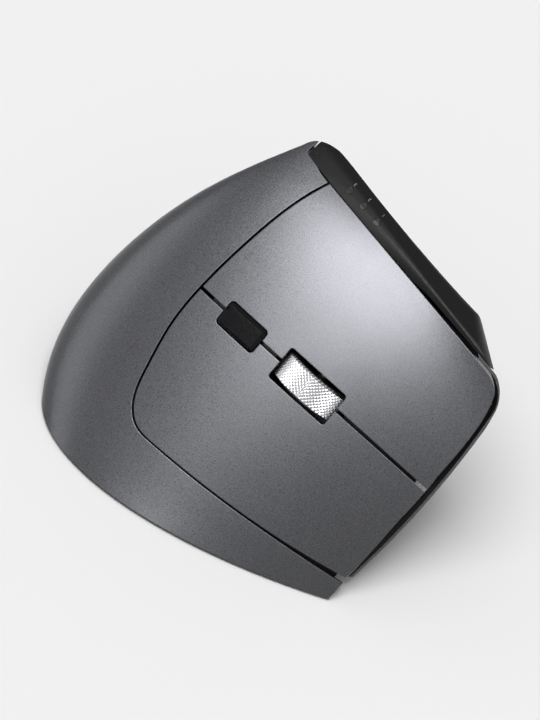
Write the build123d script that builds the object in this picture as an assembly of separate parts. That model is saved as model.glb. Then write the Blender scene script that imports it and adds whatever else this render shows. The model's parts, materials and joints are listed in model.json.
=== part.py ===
from build123d import *
import math
import os

os.makedirs("parts", exist_ok=True)

# A right-handed vertical mouse. +X is the finger side, +Y the front, +Z up.
# The origin is the middle of the footprint, on the surface that the feet rest on.

# Overall size of the housing, over its flared foot and its crest
body_length = 103.4
body_width = 75.3
body_height = 70.5

# The housing is lofted through level curves. Each one leaves the front edge of the finger face,
# runs round the rear and comes back along the thumb side. The planes of the curves tip more and
# more towards the crest, which rises to the rear.
level_height_shares = (0.0, 0.170, 0.397, 0.624, 0.766, 0.823, 0.858, 0.883, 0.893)
level_pitch_shares = (0.0, 0.19, 0.41, 0.67, 0.84, 0.92, 0.97, 1.0, 1.0)
crest_pitch = 6.3
pitch_axis_share = 0.4425
least_round_share = 0.25
body_levels = (0, 1, 2, 3, 4, 6)
crest_levels = (6, 7, 8)
room_levels = (0, 1, 2, 3, 4, 5)
finger_front_x_shares = (0.198, 0.096, -0.045, -0.183, -0.264, -0.294, -0.312, -0.324, -0.342)
finger_front_y_shares = (0.447, 0.464, 0.482, 0.499, 0.499, 0.493, 0.477, 0.425, 0.378)
finger_reach_shares = (0.435, 0.406, 0.367, 0.314, 0.276, 0.256, 0.242, 0.218, 0.193)
finger_flare_shares = (0.388, 0.229, 0.101, 0.013, -0.023, -0.035, -0.040, -0.027, -0.011)
rear_x_shares = (0.145, 0.074, -0.047, -0.196, -0.316, -0.371, -0.422, -0.456, -0.475)
rear_y_shares = (-0.447, -0.499, -0.476, -0.405, -0.337, -0.304, -0.283, -0.258, -0.215)
rear_finger_round_shares = (0.486, 0.420, 0.310, 0.189, 0.108, 0.069, 0.045, 0.029, 0.013)
rear_thumb_round_shares = (0.332, 0.332, 0.238, 0.158, 0.105, 0.080, 0.060, 0.040, 0.021)
thumb_front_x_shares = (-0.456, -0.496, -0.460, -0.429, -0.411, -0.424, -0.436, -0.431, -0.412)
thumb_front_y_shares = (0.310, 0.312, 0.315, 0.315, 0.325, 0.332, 0.332, 0.316, 0.312)
thumb_reach_shares = (0.360, 0.360, 0.360, 0.350, 0.320, 0.290, 0.271, 0.232, 0.213)

# Walls, seams and fits
shell_wall = 2.0
plate_wall = 1.8
plate_frame_gap = 1.2
frame_wall = 1.4
seam_gap = 0.6
split_gap = 0.9
slide_gap = 0.25
part_gap = 0.3
pin_clearance = 0.05
press_gap = 0.1
overrun = 4.0
depth_overrun = 30.0

# Seams of the two button plates, as places on the finger face: level number and share of the
# way from the front edge to the rear
plate_seam_shares = (
    (0.56, 0.003), (0.76, 0.193), (0.86, 0.310), (0.94, 0.433), (1.00, 0.480), (1.14, 0.517),
    (1.54, 0.560), (2.00, 0.593), (2.54, 0.630), (3.22, 0.660), (4.46, 0.697), (6.00, 0.703),
)
ridge_front_shares = (6.00, 0.03)
plate_front_shares = (2.32, 0.0)
tip_seam_shares = (6.44, 0.88)
wheel_place_shares = (2.42, 0.317)
plate_corner_radius = 8.0
split_height = 0.4

# Scroll wheel and its slot
wheel_radius = 11.0
wheel_width = 7.1
wheel_rise = 2.8
rim_wall = 2.2
wheel_slot_length = 18.5
wheel_slot_width = 9.4
slot_corner = 0.8
rim_chamfer = 0.4
axle_radius = 1.25
encoder_wall = 3.0
cheek_wall = 1.4
cheek_gap = 0.5
wheel_travel = 0.4

# Sensitivity button behind the wheel
dpi_slot_length = 12.4
dpi_slot_width = 7.1
dpi_place = 22.1
dpi_rise = 0.5
dpi_travel = 0.5
dpi_cap_height = 3.6
dpi_bevel = 0.9
dpi_corner = 1.2
dpi_stem_radius = 1.2

# Button board and the two microswitches
board_thickness = 1.2
board_depth = 15.0
board_front = 21.0
board_rear = 28.0
board_upper = 15.0
board_lower = 17.0
microswitch_length = 12.8
microswitch_width = 5.8
microswitch_height = 6.5
microswitch_place = 12.0
microswitch_spread = 11.5
plunger_length = 2.4
plunger_width = 1.6
plunger_rise = 0.7
plunger_sink = 2.0
switch_stroke = 0.6
rib_length = 3.0
rib_width = 2.4
tact_side = 6.0
tact_height = 3.5

# Hinges of the button plates
hinge_place = 28.0
hinge_depth = 8.2
hinge_spread = 17.0
lug_radius = 2.2
lug_width = 4.0
hinge_pin_radius = 1.0
ear_wall = 1.6
window_margin = 1.2
lip_margin = 0.5
lip_wall = 1.4
lip_length = 24.0
lip_drop = 3.0
front_recess = 2.2
post_radius = 2.2

# Thumb side
panel_foot_share = 0.241
panel_rear_foot_share = -0.10
panel_rear_waist_share = -0.238
panel_rear_top_share = -0.256
panel_inner_share = -0.351
panel_depth = 10.0
thumb_button_length = 15.5
thumb_button_height = 6.0
thumb_button_rise = 0.8
thumb_button_gap = 1.4
thumb_button_travel = 0.5
thumb_place_shares = (-0.425, 0.153, 0.681)
thumb_pitch = 5.5
thumb_stem_radius = 1.3
side_board_depth = 7.4
side_board_height = 9.0
light_hole_radius = 0.9
light_pipe_length = 3.0
lamp_length = 1.6
light_place_shares = ((6.82, 0.647), (6.96, 0.580), (7.04, 0.517))

# Base
foot_thickness = 0.6
base_thickness = 2.0
base_seam = 0.2
foot_edge = 8.0
foot_width = 6.0
rear_foot_share = -0.232
front_foot_share = 0.251
main_board_height = 5.4
main_board_width = 24.0
main_board_share = -0.146
board_setback = 4.0
battery_length = 20.0
battery_width = 25.0
battery_height = 8.0
battery_share = 0.1155
battery_inset = 11.2
lens_length = 9.0
lens_width = 7.0
lens_depth_share = 0.5
sensor_shares = (0.0, -0.09)
sensor_side = 8.0
sensor_height = 1.8
switch_shares = (0.0625, -0.37)
switch_slot_length = 8.0
switch_slot_width = 3.6
switch_travel = 3.0
knob_length = 4.4
knob_flange = 0.7
pair_shares = (0.042, 0.196)
pair_radius = 2.0
pair_travel = 0.3
pair_switch_height = 1.5
standoff_radius = 2.4
screw_radius = 1.0
screw_head_radius = 1.9
screw_head_height = 1.1
screw_length = 6.0
boss_radius = 3.2
boss_height = 5.4
boss_hole_depth = 4.2
boss_rib = 1.6
boss_seat_share = 0.95
finger_boss_share = 0.41
finger_boss_inset = 9.0
thumb_boss_share = 0.78
front_boss_share = 0.25
chip_side = 7.0
chip_height = 1.0
inlet_length = 7.4
inlet_width = 9.0
inlet_height = 3.2
inlet_wall = 0.4
tongue_height = 0.7
tongue_share = 0.6


def level_value(shares, level):
    """A table value between two levels, on a straight line."""
    low = min(int(level), len(shares) - 2)
    return shares[low] + (level - low) * (shares[low + 1] - shares[low])


def lift(x, y, level):
    """A point of a level curve, tipped with the plane of its level."""
    pitch = math.radians(crest_pitch * level_value(level_pitch_shares, level))
    axis_y = pitch_axis_share * body_length
    height = level_value(level_height_shares, level) * body_height
    run = y - axis_y
    return Vector(x, axis_y + run * math.cos(pitch), height - run * math.sin(pitch))


def level_controls(level, finger, thumb, rear, front):
    """Control points of one level curve: finger side, then thumb side, each with four."""
    front_x = level_value(finger_front_x_shares, level) * body_width - finger
    front_y = level_value(finger_front_y_shares, level) * body_length
    rear_x = level_value(rear_x_shares, level) * body_width
    rear_y = level_value(rear_y_shares, level) * body_length + rear
    thumb_x = level_value(thumb_front_x_shares, level) * body_width + thumb
    thumb_y = level_value(thumb_front_y_shares, level) * body_length
    slant = (front_y - thumb_y) / (front_x + finger - thumb_x + thumb)
    finger_back = front + slant * finger
    thumb_back = front - slant * thumb
    reach = level_value(finger_reach_shares, level) * body_length
    flare = level_value(finger_flare_shares, level) * body_width
    finger_round = level_value(rear_finger_round_shares, level) * body_width
    thumb_round = level_value(rear_thumb_round_shares, level) * body_width
    finger_round = max(finger_round - finger, finger_round * least_round_share)
    thumb_round = max(thumb_round - thumb, thumb_round * least_round_share)
    thumb_reach = level_value(thumb_reach_shares, level) * body_length
    finger_side = [
        (front_x + finger_back * flare / reach, front_y - finger_back),
        (front_x + flare, front_y - reach),
        (rear_x + finger_round, rear_y),
        (rear_x, rear_y),
    ]
    thumb_side = [
        (rear_x, rear_y),
        (rear_x - thumb_round, rear_y),
        (thumb_x, thumb_y - thumb_reach),
        (thumb_x, thumb_y - thumb_back),
    ]
    return finger_side, thumb_side


def level_curve(level, finger, thumb, rear, front):
    """One closed level curve of the housing, drawn in by the given insets."""
    sides = level_controls(level, finger, thumb, rear, front)
    finger_side, thumb_side = [[lift(x, y, level) for x, y in side] for side in sides]
    return Wire([Bezier(*finger_side), Bezier(*thumb_side), Line(thumb_side[-1], finger_side[0])])


def housing_form(levels, finger=0.0, thumb=0.0, rear=0.0, front=0.0):
    """Smooth form through some level curves, drawn in by walls and gaps."""
    return Solid.make_loft([level_curve(level, finger, thumb, rear, front) for level in levels])


def on_finger_face(place):
    """A point of the finger face from its level number and its share along the level curve."""
    level, along = place
    points = level_controls(level, 0, 0, 0, 0)[0]
    back = 1 - along
    weights = (back**3, 3 * back**2 * along, 3 * back * along**2, along**3)
    x = sum(weight * point[0] for weight, point in zip(weights, points))
    y = sum(weight * point[1] for weight, point in zip(weights, points))
    return lift(x, y, level)


# Frame of the finger face at the wheel: x runs along the split to the front, y up the slope,
# z out of the face
wheel_level, wheel_along = wheel_place_shares
level_step = 0.5
along_step = 0.1
face_forward = on_finger_face((wheel_level, wheel_along - along_step)) - on_finger_face(
    (wheel_level, wheel_along + along_step))
face_upward = on_finger_face((wheel_level + level_step, wheel_along)) - on_finger_face(
    (wheel_level - level_step, wheel_along))
face_normal = face_forward.cross(face_upward).normalized()
split_run = on_finger_face(plate_front_shares) - on_finger_face(plate_seam_shares[8])
split_forward = split_run - face_normal * split_run.dot(face_normal)
face_plane = Plane(
    origin=on_finger_face(wheel_place_shares),
    x_dir=split_forward.normalized(),
    z_dir=face_normal,
)
face_slope = math.acos(face_normal.Z)
finger_run = 1 / math.sin(face_slope)


def in_face(place):
    """Place on the finger face as flat coordinates of the face frame."""
    point = face_plane.to_local_coords(on_finger_face(place))
    return (point.X, point.Y)


def face_prism(sketch, depth=depth_overrun, rise=depth_overrun):
    """Prism of a flat outline, through the finger face along its normal."""
    return extrude(face_plane.offset(-depth) * sketch, depth + rise, dir=face_normal)


def face_box(place, height, size):
    """Box in the face frame: place (forward, upward), its lowest height and its size."""
    length, width, tall = size
    corner = Pos(place[0], place[1], height) * Box(
        length, width, tall, align=(Align.CENTER, Align.CENTER, Align.MIN))
    return face_plane * corner


def face_rod(place, height, radius, tall):
    """Round rod along the face normal."""
    rod = Cylinder(radius, tall, align=(Align.CENTER, Align.CENTER, Align.MIN))
    return face_plane * Pos(place[0], place[1], height) * rod


def cross_rod(place, height, radius, length):
    """Round rod along the slope of the face, centred on its place."""
    rod = Rot(90, 0, 0) * Cylinder(radius, length)
    return face_plane * Pos(place[0], place[1], height) * rod


def slab(low, high):
    """Horizontal slab wider than the housing."""
    reach = body_length + body_width
    return Pos(0, 0, low) * Box(reach, reach, high - low, align=(
        Align.CENTER, Align.CENTER, Align.MIN))


def base_box(place, low, size):
    """Upright box over a place of the base."""
    return Pos(place[0], place[1], low) * Box(*size, align=(
        Align.CENTER, Align.CENTER, Align.MIN))


def base_rod(place, low, radius, tall):
    """Upright round rod over a place of the base."""
    return Pos(place[0], place[1], low) * Cylinder(radius, tall, align=(
        Align.CENTER, Align.CENTER, Align.MIN))


def save(shape, name):
    """Write one piece, or several separate solids of one kind, under its name."""
    solids = shape.solids() if hasattr(shape, "solids") else list(shape)
    piece = solids[0] if len(solids) == 1 else Compound(solids)
    piece.label = name
    export_step(piece, f"parts/{name}.step")
    print(name, len(solids), round(sum(solid.volume for solid in solids), 1))


def largest(shape):
    """The largest solid of a cut."""
    return max(shape.solids(), key=lambda solid: solid.volume)


# Forms: the outside, the room inside the walls, and skins under the finger face
body_form = housing_form(body_levels)
outer_form = body_form + housing_form(crest_levels)
inner_form = housing_form(
    room_levels, shell_wall * finger_run, shell_wall, shell_wall, -overrun * 2)


def front_line(share):
    """Place on the foot of the front wall, by its share of the way to the thumb side."""
    x = finger_front_x_shares[0] + share * (thumb_front_x_shares[0] - finger_front_x_shares[0])
    y = finger_front_y_shares[0] + share * (thumb_front_y_shares[0] - finger_front_y_shares[0])
    return (x * body_width, y * body_length)


def behind_front(inset):
    """Everything behind the front wall, drawn back by an inset."""
    return housing_form(room_levels, -overrun, -overrun, -overrun, inset)


def finger_skin(top_inset, wall):
    """Skin of the finger side between two depths under its face."""
    low = (top_inset + wall) * finger_run
    outside = body_form
    if top_inset > 0:
        outside = housing_form(body_levels, top_inset * finger_run, 0, top_inset, -overrun * 2)
    inside = housing_form(body_levels, low, -overrun, top_inset + wall, -overrun * 3)
    return outside - inside


# Outline of both button plates on the finger face
seam_points = [in_face(place) for place in plate_seam_shares]
ridge_rear = seam_points[-1]
ridge_front = in_face(ridge_front_shares)
plate_front = in_face(plate_front_shares)
lower_front = seam_points[0]
ridge_slope = (ridge_front[1] - ridge_rear[1]) / (ridge_front[0] - ridge_rear[0])


def plate_outline(shift):
    """Outline of the plates, moved outwards by the shift at the seams, not at the front."""
    corner_x = plate_front[0] + (overrun * 2 if shift > 0 else 0)
    corner = (corner_x, ridge_front[1] + ridge_slope * (corner_x - ridge_front[0]))
    centre = (plate_front[0] / 2, 0)
    places = []
    for x, y in seam_points:
        reach = math.hypot(x - centre[0], y - centre[1])
        grow = 1 + shift / reach
        places.append((centre[0] + (x - centre[0]) * grow, centre[1] + (y - centre[1]) * grow))
    foot = (corner_x if shift > 0 else lower_front[0], places[0][1])
    places[0] = foot
    top = Line(places[-1], (corner[0], corner[1] + shift))
    if shift > 0:
        front = Line((corner[0], corner[1] + shift), foot)
    else:
        front = ThreePointArc((corner[0], corner[1] + shift), (plate_front[0] + slot_corner, 0), foot)
    sketch = make_face([top, front, Spline(*places)])
    if shift <= 0:
        point = min(sketch.vertices(), key=lambda v: math.hypot(v.X - corner[0], v.Y - corner[1]))
        sketch = fillet(point, plate_corner_radius)
    return sketch


plates = plate_outline(-seam_gap / 2)
plates_room = plate_outline(seam_gap / 2)
wheel_slot = RectangleRounded(wheel_slot_length, wheel_slot_width, slot_corner)
dpi_slot = Pos(-dpi_place, 0) * RectangleRounded(dpi_slot_length, dpi_slot_width, dpi_corner)
half_reach = body_length
upper_half = Pos(0, split_height + (half_reach + split_gap) / 2) * Rectangle(half_reach, half_reach)
lower_half = Pos(0, split_height - (half_reach + split_gap) / 2) * Rectangle(half_reach, half_reach)
plate_skin = finger_skin(0, plate_wall)

# Palm shell, thumb panel and their seams
tip_x, tip_y = in_face(tip_seam_shares)
far = body_width
tip_round = slot_corner * 4
plates_depth = panel_depth + overrun


def panel_crest_outline(shift):
    """Part of the face frame beyond the ridge seam, back to the rounded tip of the panel."""
    tip_back = tip_x - shift
    front = (plate_front[0] + overrun * 2, ridge_front[1] - shift + ridge_slope * overrun)
    rear = (ridge_rear[0], ridge_rear[1] - shift)
    tip = (tip_back, tip_y + tip_round)
    top = tip_y + far
    lines = [
        Line(front, rear),
        Spline(rear, tip, tangents=((-1, -ridge_slope), (0, 1))),
        Line(tip, (tip_back, top)),
        Line((tip_back, top), (front[0], top)),
        Line((front[0], top), front),
    ]
    return make_face(lines)


def panel_side_prism(shift):
    """Part of the thumb side covered by the panel, swept across the housing."""
    top = body_height + overrun
    front = body_length / 2 + overrun
    foot = body_height * panel_foot_share - shift
    rear_curve = Spline(
        (body_length * panel_rear_top_share - shift, top),
        (body_length * panel_rear_waist_share - shift, body_height / 2),
        (body_length * panel_rear_foot_share, foot),
        tangents=((0, -1), (1, 0)),
    )
    lines = [
        rear_curve,
        Line((body_length * panel_rear_foot_share, foot), (front, foot)),
        Line((front, foot), (front, top)),
        Line((front, top), (body_length * panel_rear_top_share - shift, top)),
    ]
    side_plane = Plane(
        origin=(body_width * panel_inner_share, 0, 0), x_dir=(0, 1, 0), z_dir=(1, 0, 0))
    return extrude(side_plane * make_face(lines), body_width, dir=(-1, 0, 0))


seam_skin = finger_skin(0, shell_wall * 2) & face_box(
    (0, 0), -panel_depth, (body_length * 2, body_length * 2, far))


def panel_region(shift):
    """Everything on the panel's side of its seam."""
    crest = face_prism(panel_crest_outline(shift), panel_depth)
    return crest + (panel_side_prism(shift) - (seam_skin - crest))


base_top = foot_thickness + base_thickness
shell_foot = foot_thickness + base_seam
boss_foot = base_top + base_seam
shell = (outer_form - inner_form) & slab(shell_foot, body_height + overrun)
room_form = outer_form & slab(shell_foot, body_height)


def foot_seat(side, along, inset):
    """Place inside the foot of one side, its way out to the edge, and its distance from it."""
    points = level_controls(0, 0, 0, 0, 0)[side]
    back = 1 - along
    weights = (back**3, 3 * back**2 * along, 3 * back * along**2, along**3)
    slopes = (-back**2, back * (back - 2 * along), along * (2 * back - along), along**2)
    x, y = [sum(w * p[i] for w, p in zip(weights, points)) for i in (0, 1)]
    run_x, run_y = [sum(w * p[i] for w, p in zip(slopes, points)) for i in (0, 1)]
    reach = math.hypot(run_x, run_y)
    out = (-run_y / reach, run_x / reach)
    return (x - out[0] * inset, y - out[1] * inset), math.degrees(math.atan2(out[1], out[0])), inset


boss_inset = shell_wall + boss_radius * boss_seat_share
shell_seats = (
    foot_seat(0, 1, boss_inset),
    foot_seat(0, finger_boss_share, finger_boss_inset),
    foot_seat(1, thumb_boss_share, boss_inset),
)
boss_places = tuple(seat[0] for seat in shell_seats)
front_place = front_line(front_boss_share)
front_boss = (
    front_place[0],
    front_place[1] - front_recess - frame_wall - boss_radius / 2,
)


def bosses(seats):
    """Screw bosses over the base plate, each with its blind hole and a rib out to the wall."""
    rods, holes = [], []
    for place, turn, inset in seats:
        rib = Pos(*place, boss_foot) * Rot(0, 0, turn) * Box(inset, boss_rib, boss_height, align=(
            Align.MIN, Align.CENTER, Align.MIN))
        rods.append(base_rod(place, boss_foot, boss_radius, boss_height) + rib)
        holes.append(base_rod(place, boss_foot, screw_radius, boss_hole_depth))
    return sum(rods[1:], rods[0]), sum(holes[1:], holes[0])


shell_rods, shell_holes = bosses(shell_seats)
palm_shell = largest(shell - face_prism(plates_room, plates_depth) - panel_region(seam_gap / 2))
palm_shell = palm_shell + (shell_rods & room_form) - shell_holes
save(palm_shell, "palm_shell")

# Thumb buttons sit in a frame on the thumb side: x runs to the rear, y up, z out
thumb_origin = Vector(
    thumb_place_shares[0] * body_width,
    thumb_place_shares[1] * body_length,
    thumb_place_shares[2] * body_height,
)
thumb_lean = math.radians(thumb_pitch)
thumb_plane = Plane(
    origin=thumb_origin,
    x_dir=(0, -math.cos(thumb_lean), math.sin(thumb_lean)),
    z_dir=(-1, 0, 0),
)
thumb_pitch_length = thumb_button_length + thumb_button_gap
thumb_corner = thumb_button_height / 3
thumb_marks = {"forward": -thumb_pitch_length / 2, "back": thumb_pitch_length / 2}


def thumb_prism(along, length, height, corner, low, high):
    """Rounded prism through the thumb side at a place along its button row."""
    shape = Pos(along, 0) * RectangleRounded(length, height, corner)
    return extrude(thumb_plane.offset(low) * shape, high - low, dir=(-1, 0, 0))


def thumb_box(along, up, low, size):
    """Box in the frame of the thumb side."""
    return thumb_plane * Pos(along, up, low) * Box(*size, align=(
        Align.CENTER, Align.CENTER, Align.MIN))


raised_form = housing_form(body_levels, 0, -thumb_button_rise, 0, 0)
button_room = housing_form(room_levels, shell_wall * finger_run, shell_wall, shell_wall, 0)
thumb_panel = shell & panel_region(-seam_gap / 2)
light_rods = []
lamps = []
for place in light_place_shares:
    spot = in_face(place)
    depth = face_plane.to_local_coords(on_finger_face(place)).Z
    hole = face_rod(
        spot, depth - light_pipe_length - lamp_length, light_hole_radius, light_pipe_length * 3)
    thumb_panel = thumb_panel - hole
    pipe_radius = light_hole_radius - pin_clearance
    pipe = face_rod(spot, depth - light_pipe_length, pipe_radius, light_pipe_length * 2)
    light_rods.append(pipe & outer_form)
    lamp_low = depth - light_pipe_length - lamp_length
    lamps.append(face_rod(spot, lamp_low, pipe_radius, lamp_length))
side_board_top = -side_board_depth
side_tact_top = side_board_top + tact_height
stem_low = side_tact_top + thumb_button_travel + press_gap
for name, along in thumb_marks.items():
    room = thumb_prism(
        along, thumb_button_length + 2 * slide_gap, thumb_button_height + 2 * slide_gap,
        thumb_corner + slide_gap, -side_board_depth, overrun * 2)
    thumb_panel = thumb_panel - room
    cap_prism = thumb_prism(
        along, thumb_button_length, thumb_button_height, thumb_corner,
        -side_board_depth, overrun * 2)
    cap = (raised_form - button_room) & cap_prism
    stem_rod = thumb_plane * Pos(along, 0, stem_low) * Cylinder(
        thumb_stem_radius, side_board_depth, align=(Align.CENTER, Align.CENTER, Align.MIN))
    save(cap + (stem_rod & raised_form), f"{name}_button")
save(thumb_panel, "thumb_panel")
save(Compound(light_rods), "light_pipes")
save(Compound(lamps), "indicator_lamps")

# Side board behind the thumb buttons, with one key switch under each
side_board = thumb_box(0, 0, side_board_top - board_thickness, (
    thumb_pitch_length * 2, side_board_height, board_thickness))
save(side_board, "side_board")
side_tacts = [thumb_box(along, 0, side_board_top, (tact_side, tact_side, tact_height))
              for along in thumb_marks.values()]
save(Compound(side_tacts), "side_switches")

# Black frame under the plates: finger wall, front wall and front lip
frame_top = plate_wall + plate_frame_gap
frame_low = frame_top + frame_wall
frame_side = shell_wall + thumb_button_travel + part_gap
frame_outside = housing_form(
    room_levels, frame_top * finger_run, frame_side, frame_top, part_gap)
frame_outside = frame_outside & behind_front(front_recess)
frame_inside = housing_form(
    room_levels, frame_low * finger_run, -overrun, -overrun, part_gap + frame_wall)
frame_inside = frame_inside & behind_front(front_recess + frame_wall)
frame_rear = hinge_place + lug_radius + window_margin * 2
frame_upper = ridge_front[1] - plate_corner_radius / 4
frame_lower = seam_points[3][1] - window_margin
frame_cut = face_box(
    ((plate_front[0] + overrun - frame_rear) / 2, (frame_upper + frame_lower) / 2),
    -far, (plate_front[0] + overrun + frame_rear, frame_upper - frame_lower, far * 2))
front_cut = Pos(0, body_length * front_foot_share, 0) * Box(far * 2, far, far * 2, align=(
    Align.CENTER, Align.MIN, Align.MIN))
frame_walls = (frame_outside - frame_inside) & slab(boss_foot, body_height)
button_frame = frame_walls & (frame_cut + front_cut)

# Front lip of the frame, just behind the front edge of the plates
plate_shape = plate_outline(-lip_margin)
lip_strip = plate_shape - Pos(-lip_wall, 0) * plate_shape
lip_room = Pos(plate_front[0], 0) * Rectangle(lip_length, body_length)
front_lip = finger_skin(frame_top, lip_drop) & face_prism(lip_strip & lip_room)
button_frame = button_frame + front_lip

# Windows of the frame and the ears that hold the hinge pins
board_room_low = -board_depth
post_places = (
    (-board_rear + post_radius * 3, board_upper - post_radius * 2),
    (-post_radius * 3, -board_lower + post_radius * 1.5),
)
lug_places = tuple(hinge_spread * side * step for side in (1, -1) for step in (0.5, 1.5))
hinge_low = -hinge_depth
for place in lug_places:
    window = face_box((-hinge_place, place), hinge_low - lug_radius, (
        2 * (lug_radius + window_margin), lug_width + 2 * window_margin, far))
    button_frame = button_frame - window
for place in lug_places:
    for side in (1, -1):
        middle = place + side * (lug_width / 2 + slide_gap + ear_wall / 2)
        ear = face_box((-hinge_place, middle), hinge_low - lug_radius, (
            2 * (lug_radius + window_margin * 2), ear_wall, far)) & frame_outside
        button_frame = button_frame + ear
pins = []
for place in lug_places:
    pin_length = lug_width + 2 * (slide_gap + ear_wall)
    pin = cross_rod((-hinge_place, place), hinge_low, hinge_pin_radius, pin_length)
    pins.append(pin)
    button_frame = button_frame - pin
for place in post_places:
    post = face_rod(place, board_room_low, post_radius, far) & frame_outside
    button_frame = button_frame + post - face_rod(
        place, board_room_low, screw_radius, screw_length)
wheel_window = face_box((0, 0), -far, (
    2 * (wheel_radius + part_gap), wheel_slot_width + window_margin, far * 2))
dpi_window = face_box((-dpi_place, 0), -far, (dpi_slot_length, dpi_slot_width, far * 2))
cut_low = frame_low + overrun
finger_cut = face_box((0, 0), -cut_low, (body_length * 2, body_length * 2, far))
button_frame = button_frame - (wheel_window & finger_cut) - (dpi_window & finger_cut)
for side in (1, -1):
    window = face_box((microswitch_place, side * microswitch_spread), -cut_low, (
        rib_length + 2 * window_margin, rib_width + 2 * window_margin, far))
    button_frame = button_frame - window
front_rod = base_rod(front_boss, boss_foot, boss_radius, boss_height)
front_hole = base_rod(front_boss, boss_foot, screw_radius, boss_hole_depth)
button_frame = button_frame + (front_rod & frame_outside) - front_hole

under_form = housing_form(body_levels, plate_wall / 2 * finger_run, 0, plate_wall / 2, 0)

# Button plates with their ribs over the switches and their hinge lugs
switch_top = -board_depth + microswitch_height
plunger_top = switch_top + plunger_rise
plate_parts = {"index_button": (upper_half, 1), "middle_button": (lower_half, -1)}
plate_solids = {}
for name, (half, side) in plate_parts.items():
    plate = plate_skin & face_prism((plates & half) - wheel_slot - dpi_slot)
    rib = face_box((microswitch_place, side * microswitch_spread), plunger_top + press_gap, (
        rib_length, rib_width, far)) & under_form
    plate = plate + rib
    for step in (0.5, 1.5):
        place = side * hinge_spread * step
        leg = face_box((-hinge_place, place), hinge_low, (2 * lug_radius, lug_width, far))
        knuckle = cross_rod((-hinge_place, place), hinge_low, lug_radius, lug_width)
        plate = plate + ((leg + knuckle) & under_form)
        plate = plate - cross_rod((-hinge_place, place), hinge_low, (
            hinge_pin_radius + pin_clearance), lug_width * 2)
    plate_solids[name] = plate
    save(plate, name)
save(Compound(pins), "hinge_pins")

# Charge inlet on the front edge of the main board, in a port of the front wall
board_x = body_width * main_board_share
inlet_share = (finger_front_x_shares[0] - main_board_share) / (
    finger_front_x_shares[0] - thumb_front_x_shares[0])
inlet_x = board_x
inlet_front = front_line(inlet_share)[1] - front_recess - frame_wall
inlet_low = main_board_height + board_thickness
inlet_shape = Pos(inlet_x, inlet_low + inlet_height / 2) * RectangleRounded(
    inlet_width, inlet_height, inlet_height / 3)
inlet_plane = Plane(origin=(0, inlet_front, 0), x_dir=(1, 0, 0), z_dir=(0, -1, 0))
inlet = extrude(inlet_plane * inlet_shape, inlet_length, dir=(0, -1, 0))
mouth = offset(inlet_shape, -inlet_wall)
inlet = inlet - extrude(inlet_plane * mouth, inlet_length - inlet_wall, dir=(0, -1, 0))
tongue = base_box(
    (inlet_x, inlet_front - inlet_length * tongue_share), inlet_low + inlet_height / 2 - (
        tongue_height / 2),
    (inlet_width - inlet_height, inlet_length - inlet_wall * 4, tongue_height))
save(inlet + tongue, "charge_inlet")
port = extrude(inlet_plane * offset(inlet_shape, slide_gap), far, both=True)
button_frame = button_frame - port
save(button_frame, "button_frame")

# Scroll wheel: metal rim on a plastic hub, turning on an axle across the slope
wheel_depth = wheel_radius - wheel_rise
rim_bore = wheel_radius - rim_wall
rim = cross_rod((0, 0), -wheel_depth, wheel_radius, wheel_width)
rim = chamfer(rim.edges(), rim_chamfer)
rim = rim - cross_rod((0, 0), -wheel_depth, rim_bore, wheel_width * 2)
save(rim, "wheel_rim")
hub = cross_rod((0, 0), -wheel_depth, rim_bore, wheel_width - rim_chamfer)
hub = hub - cross_rod((0, 0), -wheel_depth, axle_radius + pin_clearance, wheel_width * 2)
dish = cross_rod((0, 0), -wheel_depth, rim_bore - rim_wall, wheel_width * 2)
dish = dish - cross_rod((0, 0), -wheel_depth, axle_radius * 2, wheel_width * 3)
web = cross_rod((0, 0), -wheel_depth, rim_bore, rim_wall)
save(hub - (dish - web), "wheel_hub")

# Carrier of the wheel: two cheeks and a bar over the click switch
cheek_place = wheel_width / 2 + cheek_gap + cheek_wall / 2
bar_low = -board_depth + tact_height + wheel_travel + press_gap
cheek_low = -board_depth + wheel_travel + press_gap * 2
click_place = wheel_radius + cheek_gap * 2 + tact_side / 2
cheek_rear = -axle_radius * 3
cheek_front = click_place + tact_side / 2
cheek_tall = axle_radius * 2 - wheel_depth - cheek_low
carrier = None
for side in (1, -1):
    cheek = face_box(((cheek_rear + cheek_front) / 2, side * cheek_place), cheek_low, (
        cheek_front - cheek_rear, cheek_wall, cheek_tall))
    relief = face_box((click_place, side * cheek_place), cheek_low, (
        tact_side + 2 * slide_gap, cheek_wall * 2, bar_low - cheek_low))
    cheek = cheek - relief
    carrier = cheek if carrier is None else carrier + cheek
bar = face_box((click_place, 0), bar_low, (
    tact_side, 2 * cheek_place + cheek_wall, cheek_low + cheek_tall - bar_low))
carrier = carrier + bar - cross_rod((0, 0), -wheel_depth, axle_radius, cheek_place * 3)
save(carrier, "wheel_carrier")
encoder_side = tact_side + cheek_wall
encoder_place = cheek_place + cheek_wall / 2 + encoder_wall / 2
axle_length = 2 * cheek_place + cheek_wall + encoder_wall
axle = face_plane * Pos(0, encoder_wall / 2, -wheel_depth) * Rot(90, 0, 0) * Cylinder(
    axle_radius, axle_length)
save(axle, "wheel_axle")
encoder = face_box((0, encoder_place), -wheel_depth - encoder_side / 2, (
    encoder_side, encoder_wall, encoder_side))
encoder = encoder - cross_rod((0, encoder_place), -wheel_depth, axle_radius, encoder_wall * 2)
save(encoder, "wheel_encoder")
click_switch = face_box((click_place, 0), -board_depth, (tact_side, tact_side, tact_height))
save(click_switch, "click_switch")

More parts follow.
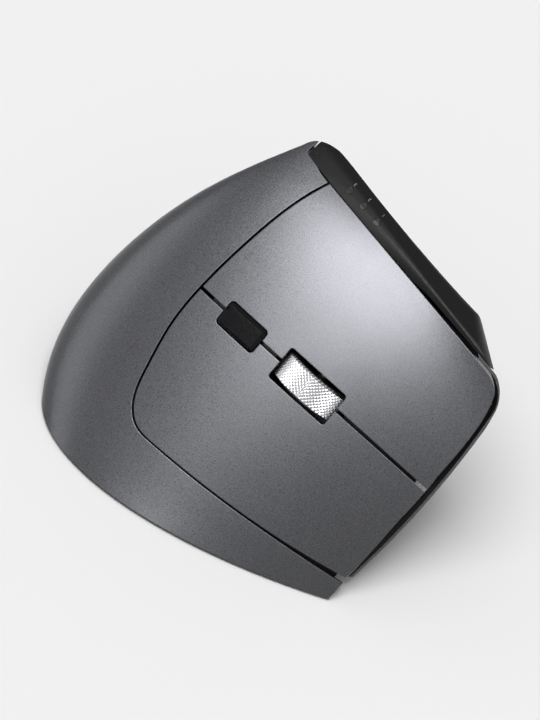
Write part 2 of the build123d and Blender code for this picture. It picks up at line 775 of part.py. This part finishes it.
# Sensitivity button: bevelled cap with a stem down to its key switch
cap_length = dpi_slot_length - 2 * slide_gap
cap_width = dpi_slot_width - 2 * slide_gap
cap_low = dpi_rise - dpi_cap_height
cap_face = Pos(-dpi_place, 0) * RectangleRounded(cap_length, cap_width, dpi_corner)
cap = extrude(face_plane.offset(cap_low) * cap_face, dpi_cap_height, dir=face_normal)
cap_top = cap.faces().sort_by(Axis(face_plane.origin, face_normal))[-1]
cap = chamfer(cap_top.edges(), dpi_bevel)
dpi_switch_top = -board_depth + tact_height
dpi_stem_low = dpi_switch_top + dpi_travel + press_gap
cap = cap + face_rod((-dpi_place, 0), dpi_stem_low, dpi_stem_radius, cap_low - dpi_stem_low)
save(cap, "dpi_button")
save(face_box((-dpi_place, 0), -board_depth, (tact_side, tact_side, tact_height)), "dpi_switch")

# Button board with the room for the wheel, on two posts of the frame
board = face_box(((board_front - board_rear) / 2, (board_upper - board_lower) / 2),
                 -board_depth - board_thickness, (
    board_front + board_rear, board_upper + board_lower, board_thickness))
half_chord = math.sqrt(wheel_radius**2 - (board_depth - wheel_depth)**2)
notch_length = 2 * (half_chord + cheek_gap * 2)
notch = face_box((0, 0), -board_depth * 2, (notch_length, 2 * cheek_place - cheek_wall, far))
board = board - notch
screw_low = -board_depth - board_thickness
board_screws = []
for place in post_places:
    board = board - face_rod(place, screw_low - overrun, screw_radius + pin_clearance, far)
    shank = face_rod(place, screw_low, screw_radius, screw_length - overrun / 2)
    head = face_rod(place, screw_low - screw_head_height, screw_head_radius, screw_head_height)
    board_screws.append(shank + head)
save(board, "button_board")
cases = []
for name, side in (("index", 1), ("middle", -1)):
    spot = (microswitch_place, side * microswitch_spread)
    case = face_box(spot, -board_depth, (
        microswitch_length, microswitch_width, microswitch_height))
    well = face_box(spot, switch_top - plunger_sink, (
        plunger_length + 2 * pin_clearance, plunger_width + 2 * pin_clearance, far))
    cases.append(case - well)
    plunger_low = switch_top - plunger_sink + switch_stroke
    plunger = face_box(spot, plunger_low, (
        plunger_length, plunger_width, plunger_top - plunger_low))
    save(plunger, f"{name}_plunger")
save(Compound(cases), "microswitch_cases")

# Base plate with its holes, standoffs and the main board
base_edge = shell_wall + base_seam
base_form = housing_form(
    room_levels, base_edge * finger_run, base_edge, base_edge, -overrun * 2)
base_form = base_form & behind_front(front_recess)
base_plate = base_form & slab(foot_thickness, base_top)
case_screws = []
screw_places = boss_places + (front_boss,)
for place in screw_places:
    clearance = base_rod(place, 0, screw_radius + pin_clearance, base_top * 2)
    sink = base_rod(place, 0, screw_head_radius + pin_clearance, (
        foot_thickness + screw_head_height))
    base_plate = base_plate - clearance - sink
    head = base_rod(place, foot_thickness, screw_head_radius, screw_head_height)
    shank = base_rod(place, foot_thickness, screw_radius, screw_length)
    case_screws.append(head + shank)
battery_y = body_length * rear_y_shares[0] + battery_inset + battery_length / 2
battery_place = (body_width * battery_share, battery_y)
fence_edge = part_gap + frame_wall
board_back = battery_y + battery_length / 2 + fence_edge + part_gap
board_ahead = inlet_front - board_setback
main_board_length = board_ahead - board_back
board_y = (board_ahead + board_back) / 2
main_board_place = (board_x, board_y)


def on_board(shares):
    """Place on the main board from its middle, as shares of the board's width and length."""
    return (board_x + shares[0] * main_board_width, board_y + shares[1] * main_board_length)


sensor_place = on_board(sensor_shares)
switch_place = on_board(switch_shares)
pair_place = on_board(pair_shares)
standoff_reach = (main_board_width / 2 - standoff_radius, main_board_length / 2 - standoff_radius)
standoffs = [(board_x - standoff_reach[0], board_y + standoff_reach[1]),
             (board_x + standoff_reach[0], board_y - standoff_reach[1])]
main_board = base_box(main_board_place, main_board_height, (
    main_board_width, main_board_length, board_thickness))
board_top = main_board_height + board_thickness
for place in standoffs:
    base_plate = base_plate + base_rod(
        place, foot_thickness, standoff_radius, main_board_height - foot_thickness)
    base_plate = base_plate - base_rod(
        place, base_top, screw_radius, main_board_height)
    main_board = main_board - base_rod(place, 0, screw_radius + pin_clearance, far)
    shank_low = board_top - screw_length + overrun / 2
    shank = base_rod(place, shank_low, screw_radius, board_top - shank_low)
    head = base_rod(place, board_top, screw_head_radius, screw_head_height)
    board_screws.append(shank + head)
save(Compound(board_screws), "board_screws")
save(Compound(case_screws), "case_screws")

# Optical sensor over its lens, which closes the window of the base
lens_flange = base_box(sensor_place, base_top, (lens_length, lens_width, (
    main_board_height - base_top)))
lens_neck = base_box(sensor_place, base_top - base_thickness * lens_depth_share, (
    lens_length - 2 * slot_corner, lens_width - 2 * slot_corner,
    base_thickness * lens_depth_share))
base_plate = base_plate - base_box(sensor_place, 0, (
    lens_length - 2 * slot_corner + 2 * pin_clearance,
    lens_width - 2 * slot_corner + 2 * pin_clearance, base_top * 2))
save(lens_flange + lens_neck, "sensor_lens")
main_board = main_board - base_rod(sensor_place, 0, slot_corner * 2, far)
save(base_box(sensor_place, board_top, (sensor_side, sensor_side, sensor_height)), "sensor_chip")
chip_reach = (main_board_width - chip_side) / 2 - slot_corner
chip_places = {
    "radio_chip": (board_x + chip_reach, board_y + main_board_length / 4),
    "controller_chip": (board_x - chip_reach, board_y - main_board_length / 4),
}
for name, place in chip_places.items():
    save(base_box(place, board_top, (chip_side, chip_side, chip_height)), name)

# Power switch: sliding knob in the base under the switch body on the board
slot_room = (switch_slot_width, switch_slot_length)
base_plate = base_plate - base_box(switch_place, 0, (*slot_room, base_top * 2))
switch_low = base_top + knob_flange + 2 * slide_gap
switch_body = base_box(switch_place, switch_low, (
    switch_slot_width * 2, switch_slot_length + switch_slot_width,
    main_board_height - switch_low))
save(switch_body, "power_switch")
knob_place = (switch_place[0], switch_place[1] - switch_travel / 2)
knob = base_box(knob_place, foot_thickness + slide_gap, (
    switch_slot_width - 2 * slide_gap, knob_length, base_top - foot_thickness))
flange = base_box(knob_place, base_top + slide_gap, (
    switch_slot_width + 2 * slot_corner, knob_length + 2 * slot_corner, knob_flange))
knob = knob + flange
save(knob, "power_slider")

# Pairing button beside it, with its key switch on the board
base_plate = base_plate - base_rod(pair_place, 0, pair_radius + slide_gap, base_top * 2)
pair_switch_low = main_board_height - pair_switch_height
pair_button = base_rod(pair_place, foot_thickness + slide_gap, pair_radius, (
    base_top - foot_thickness))
pair_top = base_top + slide_gap
pair_flange_height = pair_switch_low - pair_travel - press_gap - pair_top
pair_button = pair_button + base_rod(
    pair_place, pair_top, pair_radius + slot_corner, pair_flange_height)
save(pair_button, "pair_button")
save(base_box(pair_place, pair_switch_low, (
    tact_side, tact_side, pair_switch_height)), "pair_switch")

# Battery on the floor behind the board, in a low fence of the base
battery_low = base_top
battery = base_box(battery_place, battery_low, (battery_width, battery_length, battery_height))
battery = fillet(battery.edges().filter_by(Axis.Z), slot_corner * 2)
fence_out = base_box(battery_place, base_top, (
    battery_width + 2 * fence_edge, battery_length + 2 * fence_edge,
    battery_height / 2))
fence_in = base_box(battery_place, base_top, (
    battery_width + 2 * part_gap, battery_length + 2 * part_gap, battery_height))
base_plate = base_plate + (fence_out - fence_in)
save(battery, "battery_cell")
save(main_board, "main_board")

save(base_plate, "base_plate")

# Glide feet: crescents under the rear and the front of the base
foot_out = housing_form((0, 1), foot_edge, foot_edge, foot_edge, foot_edge)
foot_in_edge = foot_edge + foot_width
foot_in = housing_form((0, 1), foot_in_edge, foot_in_edge, foot_in_edge, foot_in_edge)
ring = (foot_out - foot_in) & slab(0, foot_thickness)
span = body_length
rear_foot_line = body_length * rear_foot_share
front_foot_line = body_length * front_foot_share
save(ring & Pos(0, rear_foot_line - span / 2) * Box(span, span, span), "rear_foot")
save(ring & Pos(0, front_foot_line + span / 2) * Box(span, span, span), "front_foot")
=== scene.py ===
import json
import math

import bmesh
import bpy
from mathutils import Matrix, Vector


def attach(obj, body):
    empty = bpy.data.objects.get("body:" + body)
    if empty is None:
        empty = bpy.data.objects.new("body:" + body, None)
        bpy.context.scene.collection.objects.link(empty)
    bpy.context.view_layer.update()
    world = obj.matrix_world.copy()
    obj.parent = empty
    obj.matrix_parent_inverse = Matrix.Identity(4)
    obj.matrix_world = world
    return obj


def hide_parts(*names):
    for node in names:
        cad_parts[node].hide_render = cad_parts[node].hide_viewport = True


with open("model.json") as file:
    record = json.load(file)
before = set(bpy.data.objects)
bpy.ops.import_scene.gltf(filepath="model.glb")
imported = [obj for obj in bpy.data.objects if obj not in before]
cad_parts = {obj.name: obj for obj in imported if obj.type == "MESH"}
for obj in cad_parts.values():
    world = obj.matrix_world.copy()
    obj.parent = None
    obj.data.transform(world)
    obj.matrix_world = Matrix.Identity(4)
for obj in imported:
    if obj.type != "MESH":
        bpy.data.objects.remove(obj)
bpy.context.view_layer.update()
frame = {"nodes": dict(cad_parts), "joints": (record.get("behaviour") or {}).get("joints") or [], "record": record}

MM = 0.001

# Camera, at the photograph's angle: azimuth and elevation of the line of sight, the roll of the
# picture, its scale, and where the front foot of the finger side lies in it
camera_azimuth = 31.0
camera_elevation = 47.0
picture_roll = 18.5
pixels_per_mm = 4.1
picture_size = (540, 720)
foot_pixel = (325, 600)
foot_point = Vector((14.64, 45.76, 0.0)) * MM
camera_distance = 4.0
camera_reach = camera_distance * 10
sensor_width = 36.0

# Finger face at the wheel: forward along the split, up the slope, and out of the face
wheel_centre = next(
    Vector(joint["pos_m"]) for joint in frame["joints"] if joint["name"] == "wheel_spin")
face_up = next(Vector(joint["axis"]) for joint in frame["joints"] if joint["name"] == "wheel_spin")
face_out = -next(
    Vector(joint["axis"]) for joint in frame["joints"] if joint["name"] == "wheel_click")
face_forward = face_up.cross(face_out).normalized()

# Knurled tread of the wheel
wheel_radius = 11.0 * MM
wheel_width = 7.1 * MM
rim_chamfer = 0.4 * MM
rim_bore = 8.8 * MM
knurl_depth = 0.3 * MM
knurl_count = 62
knurl_rows = 12

# Numbers beside the three indicator lights
number_height = 1.3 * MM
number_gap = 2.1 * MM
number_relief = 0.03 * MM
cast_height = 10 * MM
weld_distance = 0.001 * MM
rim_depth = 0.5 * MM

# Grain of the surfaces: share of the noise that counts, detail of the fine and the slow noise,
# scale of the slow noise per metre, and samples of the rounded edges
noise_span = (0.3, 0.7)
fine_detail = 2.0
slow_detail = 3.0
slow_scale = 60.0
edge_samples = 6
plastic_ior = 1.49

# Floor, backdrop and surroundings
floor_radius = 3.0
floor_segments = 64
floor_grey = 0.86
floor_roughness = 0.9
backdrop_grey = 0.855
world_level = 0.55

# Key lamp from above; the widths of distant lamps are in degrees
key_direction = (0.30, 0.06, 0.95)
key_strength = 1.95
key_width = 36

# Pale card low behind the finger side, which only brightens the rim of the palm shell
card_direction = (0.60, -0.76, 0.22)
card_strength = 0.45
card_width = 36

# Long soft lamp that is mirrored along the upper edge of the upper button plate
softbox_place = Vector((109.0, -23.0, 174.0)) * MM
softbox_target = Vector((-20.0, 5.0, 58.0)) * MM
softbox_run = Vector((0.5, 0.5, -0.7))
softbox_size = (0.13, 0.028)
softbox_power = 0.24


def node_tree(material):
    """Empty node tree of a material, with its output."""
    material.use_nodes = True
    tree = material.node_tree
    tree.nodes.clear()
    output = tree.nodes.new("ShaderNodeOutputMaterial")
    return tree, output


def spread(tree, noise, low, high):
    """Node that spreads a noise between two values."""
    node = tree.nodes.new("ShaderNodeMapRange")
    node.inputs["From Min"].default_value, node.inputs["From Max"].default_value = noise_span
    node.inputs["To Min"].default_value, node.inputs["To Max"].default_value = low, high
    tree.links.new(noise.outputs["Fac"], node.inputs["Value"])
    return node


def surface(name, color, roughness, metallic=0.0, grain=0.3, grain_size=0.4, bump=0.02,
            mottle=0.04, flake=0.0, edge=0.0, specular=0.5):
    """Moulded, painted or metal surface with a fine grain, a slow mottle and rounded edges.

    grain_size, bump and edge are in millimetres. grain is a share of the roughness, mottle and
    flake are shares of the colour, in wide patches and in fine specks.
    """
    material = bpy.data.materials.new(name)
    tree, output = node_tree(material)
    new, link = tree.nodes.new, tree.links.new
    shader = new("ShaderNodeBsdfPrincipled")
    shader.inputs["Metallic"].default_value = metallic
    shader.inputs["Specular IOR Level"].default_value = specular
    place = new("ShaderNodeTexCoord")
    fine = new("ShaderNodeTexNoise")
    fine.inputs["Scale"].default_value = 1 / (grain_size * MM)
    fine.inputs["Detail"].default_value = fine_detail
    slow = new("ShaderNodeTexNoise")
    slow.inputs["Scale"].default_value = slow_scale
    slow.inputs["Detail"].default_value = slow_detail
    for noise in (fine, slow):
        link(place.outputs["Object"], noise.inputs["Vector"])
    tinted = None
    for noise, share in ((slow, mottle), (fine, flake)):
        shade = spread(tree, noise, 1 - share, 1 + share)
        tint = new("ShaderNodeVectorMath")
        tint.operation = "SCALE"
        tint.inputs[0].default_value = color
        if tinted:
            link(tinted.outputs["Vector"], tint.inputs[0])
        link(shade.outputs["Result"], tint.inputs["Scale"])
        tinted = tint
    link(tinted.outputs["Vector"], shader.inputs["Base Color"])
    rough = spread(tree, fine, roughness * (1 - grain), min(1.0, roughness * (1 + grain)))
    link(rough.outputs["Result"], shader.inputs["Roughness"])
    relief = new("ShaderNodeBump")
    relief.inputs["Strength"].default_value = 1.0
    relief.inputs["Distance"].default_value = bump * MM
    link(fine.outputs["Fac"], relief.inputs["Height"])
    if edge:
        rounded = new("ShaderNodeBevel")
        rounded.samples = edge_samples
        rounded.inputs["Radius"].default_value = edge * MM
        link(rounded.outputs["Normal"], relief.inputs["Normal"])
    link(relief.outputs["Normal"], shader.inputs["Normal"])
    link(shader.outputs["BSDF"], output.inputs["Surface"])
    return material


def clear_plastic(name, color, roughness, clearness):
    """Clear or smoked moulded plastic."""
    material = surface(name, color, roughness, bump=0.0, specular=0.25)
    shader = next(n for n in material.node_tree.nodes if n.type == "BSDF_PRINCIPLED")
    shader.inputs["Transmission Weight"].default_value = clearness
    shader.inputs["IOR"].default_value = plastic_ior
    return material


materials = {
    "satin_grey": surface(
        "satin_grey", (0.078, 0.079, 0.085), 0.31, metallic=0.94, grain=0.14, grain_size=0.26,
        bump=0.003, mottle=0.03, flake=0.3, edge=0.28),
    "soft_black": surface(
        "soft_black", (0.004, 0.004, 0.005), 0.34, bump=0.01, edge=0.2, specular=0.15),
    "gloss_black": surface(
        "gloss_black", (0.002, 0.002, 0.003), 0.16, bump=0.002, edge=0.08, specular=0.12),
    "bright_metal": surface(
        "bright_metal", (0.56, 0.56, 0.57), 0.26, metallic=1.0, grain=0.2, bump=0.002),
    "steel": surface("steel", (0.56, 0.56, 0.57), 0.3, metallic=1.0, bump=0.003),
    "inner_black": surface(
        "inner_black", (0.005, 0.005, 0.005), 0.48, bump=0.01, edge=0.12, specular=0.2),
    "board_green": surface("board_green", (0.012, 0.11, 0.05), 0.3, grain_size=0.8, mottle=0.06),
    "chip_black": surface("chip_black", (0.015, 0.015, 0.016), 0.5, bump=0.02),
    "case_black": surface("case_black", (0.022, 0.022, 0.023), 0.42, edge=0.1),
    "case_pale": surface("case_pale", (0.58, 0.57, 0.54), 0.4),
    "clear": clear_plastic("clear", (0.012, 0.012, 0.014), 0.2, clearness=0.4),
    "lamp": clear_plastic("lamp", (0.015, 0.015, 0.016), 0.3, clearness=0.2),
    "cell": surface("cell", (0.26, 0.29, 0.33), 0.35, metallic=0.5, mottle=0.05),
    "glide": surface("glide", (0.03, 0.03, 0.031), 0.33, bump=0.006, edge=0.1),
    "label_white": surface("label_white", (0.3, 0.3, 0.29), 0.5, edge=0.1),
}


def dress_nodes():
    """Give each node of the frame the material of its slot."""
    for part in frame["record"]["subparts"]:
        node = frame["nodes"][part["node"]]
        node.data.materials.clear()
        node.data.materials.append(materials[part["material_slot"]])


def new_piece(name, mesh, slot, body):
    """Object of the scene that rides on a body and takes one material."""
    piece = bpy.data.objects.new(name, mesh)
    bpy.context.scene.collection.objects.link(piece)
    piece.data.materials.append(materials[slot])
    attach(piece, body)
    return piece


def knurled_wheel():
    """Metal tread of the wheel with a diamond knurl, cut as rows of four-sided points."""
    columns = knurl_count * 2
    tread = wheel_width - 2 * rim_chamfer
    bm = bmesh.new()

    def ring(along, radius):
        points = []
        for column in range(columns):
            angle = 2 * math.pi * column / columns
            turn = math.cos(angle) * face_out + math.sin(angle) * face_forward
            reach = radius(column) if callable(radius) else radius
            points.append(bm.verts.new(wheel_centre + face_up * along + turn * reach))
        return points

    def band(lower, upper):
        for column in range(columns):
            after = (column + 1) % columns
            bm.faces.new((lower[column], upper[column], upper[after], lower[after]))

    rows = []
    for row in range(knurl_rows + 1):
        along = tread * (row / knurl_rows - 0.5)
        rows.append(ring(along, lambda column, row=row: (
            wheel_radius - knurl_depth * ((column + row) % 2))))
    for row in range(knurl_rows):
        for column in range(columns):
            after = (column + 1) % columns
            a, b = rows[row][column], rows[row + 1][column]
            c, d = rows[row + 1][after], rows[row][after]
            if (column + row) % 2:
                bm.faces.new((a, b, c))
                bm.faces.new((a, c, d))
            else:
                bm.faces.new((a, b, d))
                bm.faces.new((b, c, d))
    side_radius = wheel_radius - knurl_depth - rim_chamfer
    low_side = ring(-wheel_width / 2, side_radius)
    high_side = ring(wheel_width / 2, side_radius)
    low_bore = ring(-wheel_width / 2, rim_bore)
    high_bore = ring(wheel_width / 2, rim_bore)
    band(low_side, rows[0])
    band(rows[-1], high_side)
    band(high_side, high_bore)
    band(high_bore, low_bore)
    band(low_bore, low_side)
    bmesh.ops.recalc_face_normals(bm, faces=bm.faces)
    mesh = bpy.data.meshes.new("knurled_tread")
    bm.to_mesh(mesh)
    bm.free()
    piece = new_piece("knurled_tread", mesh, "bright_metal", "wheel")
    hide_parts("wheel_rim")


def light_centres():
    """Middle of each light pipe's outer end, from the front one to the rear one."""
    pipes = frame["nodes"]["light_pipes"].data
    bm = bmesh.new()
    bm.from_mesh(pipes)
    bmesh.ops.remove_doubles(bm, verts=bm.verts, dist=weld_distance)
    left = set(bm.verts)
    centres = []
    while left:
        group, edge = set(), {left.pop()}
        while edge:
            vert = edge.pop()
            group.add(vert)
            edge |= {e.other_vert(vert) for e in vert.link_edges} - group
        left -= group
        top = max(v.co.dot(face_out) for v in group)
        rim = [v.co for v in group if v.co.dot(face_out) > top - rim_depth]
        centres.append(sum(rim, Vector()) / len(rim))
    bm.free()
    return sorted(centres, key=lambda point: -point.y)


def numbers():
    """Plain numbers beside the indicator lights, printed on the panel and read from its side."""
    panel = frame["nodes"]["thumb_panel"]
    for index, centre in enumerate(light_centres()):
        above = centre + face_up * number_gap + face_out * cast_height
        hit, point, normal, _ = panel.ray_cast(above, -face_out)
        if not hit:
            continue
        font = bpy.data.curves.new(f"number_{index + 1}", "FONT")
        font.body = str(index + 1)
        font.size = number_height
        font.extrude = number_relief
        font.align_x = font.align_y = "CENTER"
        holder = bpy.data.objects.new("holder", font)
        bpy.context.scene.collection.objects.link(holder)
        bpy.context.view_layer.update()
        mesh = bpy.data.meshes.new_from_object(
            holder.evaluated_get(bpy.context.evaluated_depsgraph_get()))
        bpy.data.objects.remove(holder)
        up = (-face_up - normal * normal.dot(-face_up)).normalized()
        across = up.cross(normal)
        turn = Matrix((across, up, normal)).transposed().to_4x4()
        mesh.transform(Matrix.Translation(point) @ turn)
        new_piece(f"number_{index + 1}", mesh, "label_white", "housing")


def floor_disc():
    """Pale round floor."""
    floor_mesh = bpy.data.meshes.new("floor")
    bm = bmesh.new()
    bmesh.ops.create_circle(bm, cap_ends=True, segments=floor_segments, radius=floor_radius)
    bm.to_mesh(floor_mesh)
    bm.free()
    floor = bpy.data.objects.new("floor", floor_mesh)
    bpy.context.scene.collection.objects.link(floor)
    floor_material = surface(
        "floor_white", (floor_grey,) * 3, floor_roughness, bump=0.0, mottle=0.0, specular=0.0)
    floor_mesh.materials.append(floor_material)


def surroundings():
    """Even light from all round, with a pale backdrop for the camera and for reflections."""
    world = bpy.data.worlds.new("studio")
    bpy.context.scene.world = world
    world.use_nodes = True
    tree = world.node_tree
    tree.nodes.clear()
    new, link = tree.nodes.new, tree.links.new
    output = new("ShaderNodeOutputWorld")
    pale, light = new("ShaderNodeBackground"), new("ShaderNodeBackground")
    pale.inputs["Color"].default_value = (backdrop_grey, backdrop_grey, backdrop_grey, 1)
    light.inputs["Strength"].default_value = world_level
    path = new("ShaderNodeLightPath")
    seen = None
    for ray in ("Is Camera Ray", "Is Glossy Ray", "Is Transmission Ray"):
        if seen is None:
            seen = path.outputs[ray]
            continue
        both = new("ShaderNodeMath")
        both.operation = "MAXIMUM"
        link(seen, both.inputs[0])
        link(path.outputs[ray], both.inputs[1])
        seen = both.outputs[0]
    mix = new("ShaderNodeMixShader")
    link(seen, mix.inputs["Fac"])
    link(light.outputs["Background"], mix.inputs[1])
    link(pale.outputs["Background"], mix.inputs[2])
    link(mix.outputs["Shader"], output.inputs["Surface"])


def lamps():
    """Key lamp, reflecting card and soft lamp."""
    sun("key", direction=key_direction, strength=key_strength, width=key_width)
    card = sun("card", direction=card_direction, strength=card_strength, width=card_width)
    card.visible_diffuse = False
    softbox()


def sun(name, direction, strength, width):
    """Wide distant lamp that shines from a direction."""
    data = bpy.data.lights.new(name, "SUN")
    data.energy = strength
    data.angle = math.radians(width)
    lamp = bpy.data.objects.new(name, data)
    lamp.rotation_mode = "QUATERNION"
    lamp.rotation_quaternion = Vector(direction).to_track_quat("Z", "Y")
    bpy.context.scene.collection.objects.link(lamp)
    return lamp


def softbox():
    """Long soft lamp close to the mouse, which only adds its pale reflection to the surfaces."""
    data = bpy.data.lights.new("softbox", "AREA")
    data.shape = "ELLIPSE"
    data.size, data.size_y = softbox_size
    data.energy = softbox_power
    lamp = bpy.data.objects.new("softbox", data)
    away = (softbox_place - softbox_target).normalized()
    along = (softbox_run - away * away.dot(softbox_run)).normalized()
    turn = Matrix((along, away.cross(along), away)).transposed().to_4x4()
    lamp.matrix_world = Matrix.Translation(softbox_place) @ turn
    lamp.visible_camera = False
    lamp.visible_diffuse = False
    bpy.context.scene.collection.objects.link(lamp)


def camera():
    """Long lens that looks at the finger face from above, rolled as the photograph is."""
    azimuth, elevation = math.radians(camera_azimuth), math.radians(camera_elevation)
    roll = math.radians(picture_roll)
    back = Vector((
        math.cos(azimuth) * math.cos(elevation), math.sin(azimuth) * math.cos(elevation),
        math.sin(elevation)))
    level = Vector((-math.sin(azimuth), math.cos(azimuth), 0))
    upright = back.cross(level)
    right = math.cos(roll) * level + math.sin(roll) * upright
    up = math.cos(roll) * upright - math.sin(roll) * level
    offset_x = (picture_size[0] / 2 - foot_pixel[0]) / pixels_per_mm * MM
    offset_y = (foot_pixel[1] - picture_size[1] / 2) / pixels_per_mm * MM
    aim = foot_point + right * offset_x + up * offset_y
    data = bpy.data.cameras.new("camera")
    view_height = picture_size[1] / pixels_per_mm * MM
    data.sensor_width = sensor_width
    data.lens = sensor_width * camera_distance / view_height
    data.clip_end = camera_reach
    piece = bpy.data.objects.new("camera", data)
    turn = Matrix((right, up, back)).transposed().to_4x4()
    piece.matrix_world = Matrix.Translation(aim + back * camera_distance) @ turn
    bpy.context.scene.collection.objects.link(piece)
    bpy.context.scene.camera = piece


dress_nodes()
knurled_wheel()
numbers()
floor_disc()
surroundings()
lamps()
camera()
bpy.context.scene.view_settings.view_transform = "Standard"
